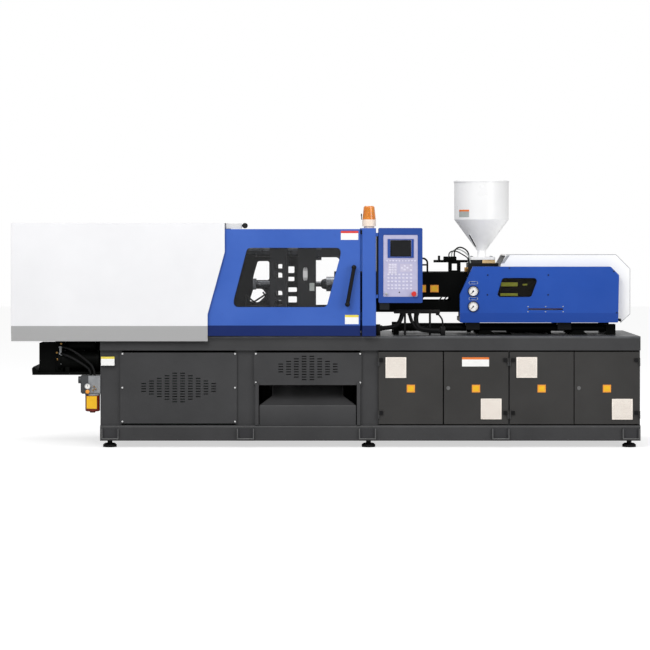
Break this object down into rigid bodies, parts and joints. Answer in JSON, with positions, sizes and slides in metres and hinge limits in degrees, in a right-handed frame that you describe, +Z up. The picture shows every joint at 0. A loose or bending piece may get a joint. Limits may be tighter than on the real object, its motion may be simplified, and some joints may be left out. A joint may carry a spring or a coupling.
{
  "type": "injection moulding machine",
  "caption": "Horizontal plastic injection moulding machine with a toggle clamp, sliding safety gates, an injection unit with hopper and a swinging operator panel.",
  "frame": {"origin": "floor, below the middle of the machine", "axes": "+X from the clamp end to the injection end, +Y away from the operator, +Z up"},
  "size_m": [4.6, 1.204, 1.965],
  "materials": {
    "grey_paint": "fine textured powder coat",
    "deck_steel": "ground steel plate",
    "white_paint": "satin powder coat",
    "blue_paint": "satin powder coat",
    "deep_blue_paint": "satin powder coat",
    "black_paint": "satin powder coat",
    "cast_paint": "machined and painted casting",
    "steel": "ground and oiled",
    "chrome_bar": "hard chrome plated",
    "clear_plastic": "clear polycarbonate sheet",
    "black_plastic": "moulded",
    "rubber_black": "moulded rubber",
    "cream_plastic": "moulded",
    "amber_plastic": "moulded amber lens",
    "reservoir_plastic": "translucent red-brown",
    "panel_face": "membrane sheet",
    "stop_red": "moulded",
    "green_motor": "machine enamel",
    "tan_plastic": "moulded"
  },
  "bodies": {
    "root": {"base_frame": "grey_paint", "deck": "deck_steel", "front_panels": "grey_paint", "rear_panels": "grey_paint", "product_chute": "grey_paint", "lifting_brackets": "grey_paint", "levelling_feet": "rubber_black", "power_pack": "green_motor", "electrical_plate": "deck_steel", "tie_bars": "chrome_bar", "fixed_platen": "cast_paint", "clamp_cover": "white_paint", "gate_column": "blue_paint", "gate_rails": "black_paint", "beacon_base": "cream_plastic", "beacon_lens": "amber_plastic", "lube_pump": "steel", "lube_reservoir": "reservoir_plastic", "oil_cooler": "grey_paint", "hoses": "rubber_black", "injection_bed": "black_paint"},
    "front_gate": {"safety_gate_front": "blue_paint", "gate_window_front": "clear_plastic", "gate_handle_front": "black_plastic"},
    "rear_gate": {"safety_gate_rear": "blue_paint", "gate_window_rear": "clear_plastic"},
    "tail_unit": {"tail_platen": "cast_paint", "adjusting_nuts": "steel", "clamp_cylinder": "steel"},
    "moving_platen": {"moving_platen": "cast_paint"},
    "rear_link_upper": {"rear_link_upper": "steel"},
    "rear_link_lower": {"rear_link_lower": "steel"},
    "front_link_upper": {"front_link_upper": "steel"},
    "front_link_lower": {"front_link_lower": "steel"},
    "crosshead": {"crosshead": "steel"},
    "cross_link_upper": {"cross_link_upper": "steel"},
    "cross_link_lower": {"cross_link_lower": "steel"},
    "ejector": {"ejector": "steel"},
    "carriage": {"injection_carriage": "cast_paint", "barrel": "steel", "barrel_guard": "black_paint", "injection_cover": "deep_blue_paint", "rear_cover": "white_paint", "hopper_base": "tan_plastic"},
    "injection_plate": {"injection_plate": "cast_paint"},
    "screw": {"screw": "steel"},
    "hopper": {"hopper": "white_paint"},
    "hopper_lid": {"hopper_lid": "white_paint"},
    "upper_needle": {"upper_gauge_needle": "black_plastic"},
    "lower_needle": {"lower_gauge_needle": "black_plastic"},
    "control_box": {"control_box": "white_paint", "operator_panel": "panel_face"},
    "stop_button": {"stop_button": "stop_red"},
    "reflector": {"beacon_reflector": "steel"},
    "door_1": {"door_1": "grey_paint"},
    "door_2": {"door_2": "grey_paint"},
    "door_3": {"door_3": "grey_paint"},
    "door_4": {"door_4": "grey_paint"},
    "left_door_lock": {"left_door_lock": "steel"},
    "right_door_lock": {"right_door_lock": "steel"}
  },
  "joints": [
    {"name": "front_gate_slide", "type": "slide", "parent": "root", "child": "front_gate", "axis": [-1, 0, 0], "range_m": [0, 0.75]},
    {"name": "rear_gate_slide", "type": "slide", "parent": "root", "child": "rear_gate", "axis": [-1, 0, 0], "range_m": [0, 0.75]},
    {"name": "mould_height_slide", "type": "slide", "parent": "root", "child": "tail_unit", "axis": [-1, 0, 0], "range_m": [0, 0.18]},
    {"name": "clamp_stroke", "type": "slide", "parent": "tail_unit", "child": "moving_platen", "axis": [-1, 0, 0], "range_m": [0, 0.27]},
    {"name": "rear_link_upper_turn", "type": "hinge", "parent": "tail_unit", "child": "rear_link_upper", "pos_m": [-1.08, 0, 1.475], "axis": [0, 1, 0], "range_deg": [0, 60]},
    {"name": "rear_link_lower_turn", "type": "hinge", "parent": "tail_unit", "child": "rear_link_lower", "pos_m": [-1.08, 0, 0.895], "axis": [0, -1, 0], "range_deg": [0, 60]},
    {"name": "front_link_upper_turn", "type": "hinge", "parent": "rear_link_upper", "child": "front_link_upper", "pos_m": [-0.81, 0, 1.475], "axis": [0, -1, 0], "range_deg": [0, 120]},
    {"name": "front_link_lower_turn", "type": "hinge", "parent": "rear_link_lower", "child": "front_link_lower", "pos_m": [-0.81, 0, 0.895], "axis": [0, 1, 0], "range_deg": [0, 120]},
    {"name": "crosshead_slide", "type": "slide", "parent": "tail_unit", "child": "crosshead", "axis": [-1, 0, 0], "range_m": [0, 0.25284]},
    {"name": "cross_link_upper_turn", "type": "hinge", "parent": "crosshead", "child": "cross_link_upper", "pos_m": [-0.885, 0, 1.31], "axis": [0, 1, 0], "range_deg": [0, 124.83]},
    {"name": "cross_link_lower_turn", "type": "hinge", "parent": "crosshead", "child": "cross_link_lower", "pos_m": [-0.885, 0, 1.06], "axis": [0, -1, 0], "range_deg": [0, 124.83]},
    {"name": "ejector_stroke", "type": "slide", "parent": "moving_platen", "child": "ejector", "axis": [1, 0, 0], "range_m": [0, 0.08]},
    {"name": "carriage_slide", "type": "slide", "parent": "root", "child": "carriage", "axis": [1, 0, 0], "range_m": [0, 0.25]},
    {"name": "injection_stroke", "type": "slide", "parent": "carriage", "child": "injection_plate", "axis": [1, 0, 0], "range_m": [0, 0.2]},
    {"name": "screw_turn", "type": "hinge", "parent": "injection_plate", "child": "screw", "pos_m": [0.5, 0, 1.185], "axis": [1, 0, 0], "continuous": true},
    {"name": "hopper_slide", "type": "slide", "parent": "carriage", "child": "hopper", "axis": [1, 0, 0], "range_m": [0, 0.1]},
    {"name": "hopper_lid_hinge", "type": "hinge", "parent": "hopper", "child": "hopper_lid", "pos_m": [1.17, 0.217, 1.94], "axis": [-1, 0, 0], "range_deg": [0, 100]},
    {"name": "upper_needle_turn", "type": "hinge", "parent": "carriage", "child": "upper_needle", "pos_m": [1.087, -0.3345, 1.14], "axis": [0, 1, 0], "range_deg": [0, 270]},
    {"name": "lower_needle_turn", "type": "hinge", "parent": "carriage", "child": "lower_needle", "pos_m": [1.087, -0.3345, 1.027], "axis": [0, 1, 0], "range_deg": [0, 270]},
    {"name": "control_box_swing", "type": "hinge", "parent": "root", "child": "control_box", "pos_m": [0.372, -0.556, 1.334], "axis": [0, 0, -1], "range_deg": [0, 90]},
    {"name": "stop_button_press", "type": "slide", "parent": "control_box", "child": "stop_button", "axis": [0, 1, 0], "range_m": [0, 0.005]},
    {"name": "reflector_turn", "type": "hinge", "parent": "root", "child": "reflector", "pos_m": [0.313, -0.506, 1.7], "axis": [0, 0, 1], "continuous": true},
    {"name": "left_lock_turn", "type": "hinge", "parent": "door_2", "child": "left_door_lock", "pos_m": [0.893, -0.49, 0.435], "axis": [0, -1, 0], "range_deg": [0, 90]},
    {"name": "right_lock_turn", "type": "hinge", "parent": "door_4", "child": "right_door_lock", "pos_m": [1.85, -0.49, 0.435], "axis": [0, -1, 0], "range_deg": [0, 90]},
    {"name": "door_1_hinge", "type": "hinge", "parent": "root", "child": "door_1", "pos_m": [0.3835, -0.498, 0.43], "axis": [0, 0, -1], "range_deg": [0, 115]},
    {"name": "door_2_hinge", "type": "hinge", "parent": "root", "child": "door_2", "pos_m": [1.3315, -0.498, 0.43], "axis": [0, 0, 1], "range_deg": [0, 90]},
    {"name": "door_3_hinge", "type": "hinge", "parent": "root", "child": "door_3", "pos_m": [1.3455, -0.498, 0.43], "axis": [0, 0, -1], "range_deg": [0, 90]},
    {"name": "door_4_hinge", "type": "hinge", "parent": "root", "child": "door_4", "pos_m": [2.2925, -0.498, 0.43], "axis": [0, 0, 1], "range_deg": [0, 115]}
  ],
  "couplings": [
    {"joint": "rear_link_upper_turn", "follows": "clamp_stroke", "rad_per_m": 3.8785},
    {"joint": "rear_link_lower_turn", "follows": "clamp_stroke", "rad_per_m": 3.8785},
    {"joint": "front_link_upper_turn", "follows": "clamp_stroke", "rad_per_m": 7.757},
    {"joint": "front_link_lower_turn", "follows": "clamp_stroke", "rad_per_m": 7.757},
    {"joint": "crosshead_slide", "follows": "clamp_stroke", "ratio": 0.93646},
    {"joint": "cross_link_upper_turn", "follows": "clamp_stroke", "rad_per_m": 8.0695},
    {"joint": "cross_link_lower_turn", "follows": "clamp_stroke", "rad_per_m": 8.0695}
  ]
}
